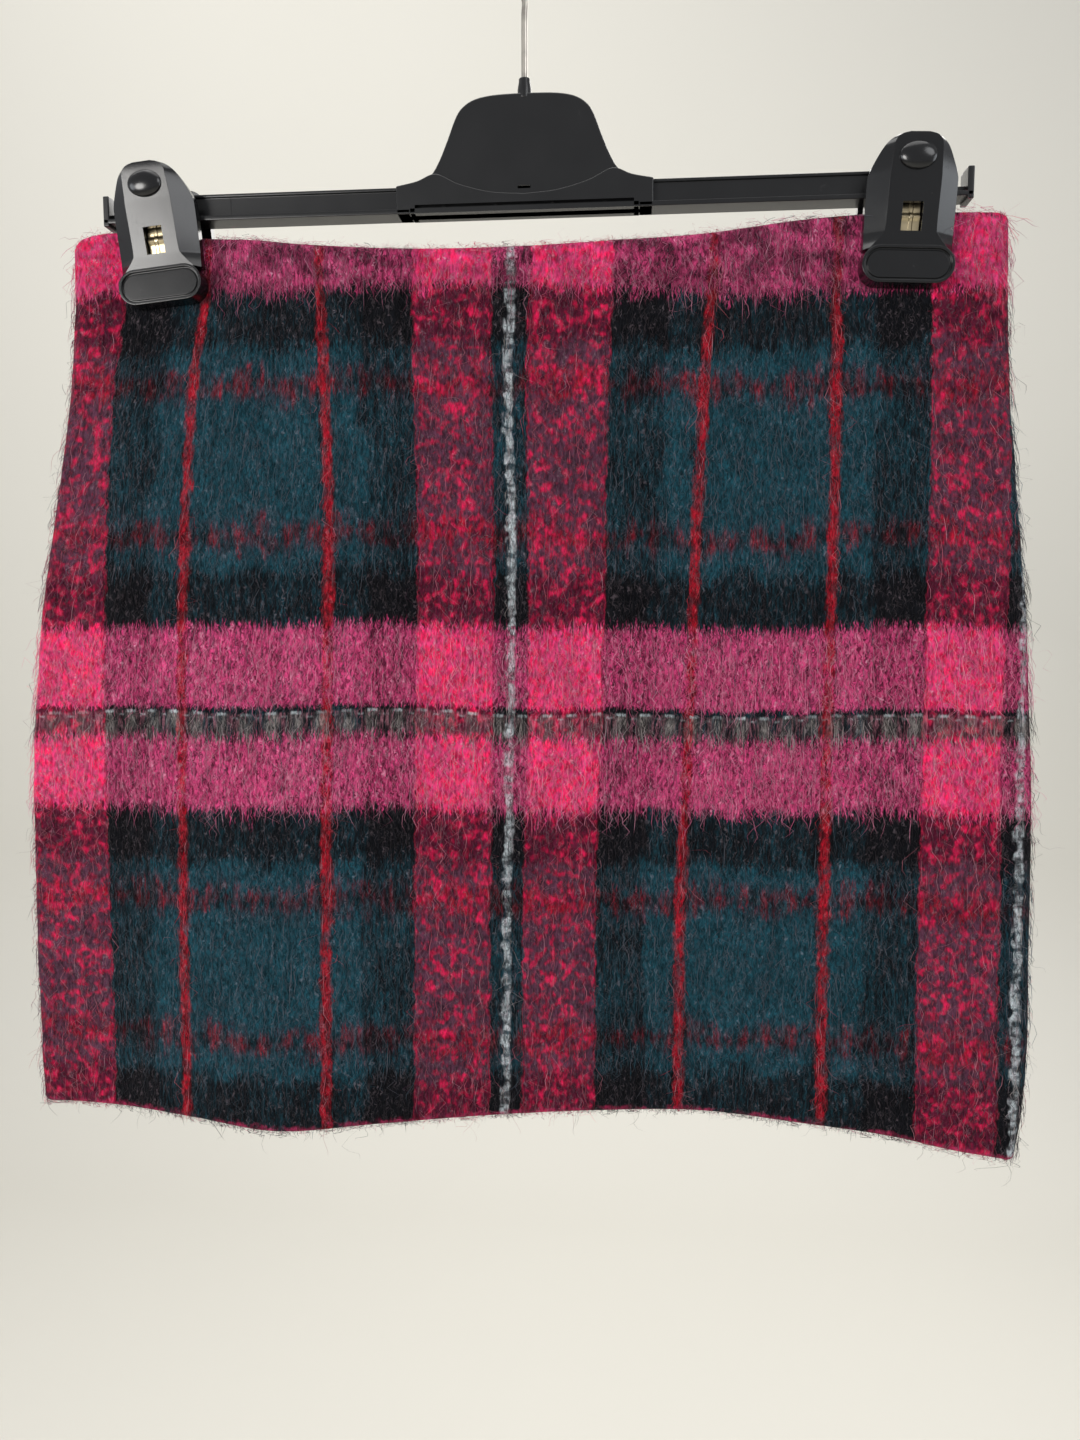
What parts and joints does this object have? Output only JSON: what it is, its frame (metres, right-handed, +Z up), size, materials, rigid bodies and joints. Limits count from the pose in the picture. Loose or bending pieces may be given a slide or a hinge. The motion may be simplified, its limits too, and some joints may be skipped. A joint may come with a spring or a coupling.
{
  "type": "pencil skirt on a clip hanger",
  "caption": "Short straight skirt of thick brushed tartan wool with a centre back zip, hung flat by its waist from a bar hanger with sprung clips and a wire hook.",
  "frame": {"origin": "the point inside the top of the hook where a rail bears", "axes": "+Z up, the front of the skirt faces -Y, +X to the right as seen from the front"},
  "size_m": [0.4427, 0.0439, 0.5393],
  "materials": {
    "wool": "thick brushed wool in a pink, teal, black and red tartan, very matt, long nap",
    "zip_tape": "black woven tape",
    "zip_metal": "black enamelled metal",
    "hanger_plastic": "black moulded plastic, satin to glossy, lightly scuffed",
    "hook_wire": "drawn steel wire, plated, slightly dull",
    "spring_steel": "spring strip with a warm plated colour"
  },
  "bodies": {
    "root": {"front_panel": "wool", "back_panel_left": "wool", "back_panel_right": "wool", "zip_tape_left": "zip_tape", "zip_tape_right": "zip_tape", "zip_slider": "zip_metal", "hanger_frame": "hanger_plastic", "wire_hook": "hook_wire", "clip_left_front_jaw": "hanger_plastic", "clip_left_back_jaw": "hanger_plastic", "clip_left_spring": "spring_steel", "clip_right_front_jaw": "hanger_plastic", "clip_right_back_jaw": "hanger_plastic", "clip_right_spring": "spring_steel"},
    "pull_tab": {"zip_pull_tab": "zip_metal"}
  },
  "joints": [
    {"name": "pull_tab_swing", "type": "hinge", "parent": "root", "child": "pull_tab", "pos_m": [-0.006, 0.0156, -0.16598], "axis": [1, 0, 0], "range_deg": [0, 150]}
  ]
}
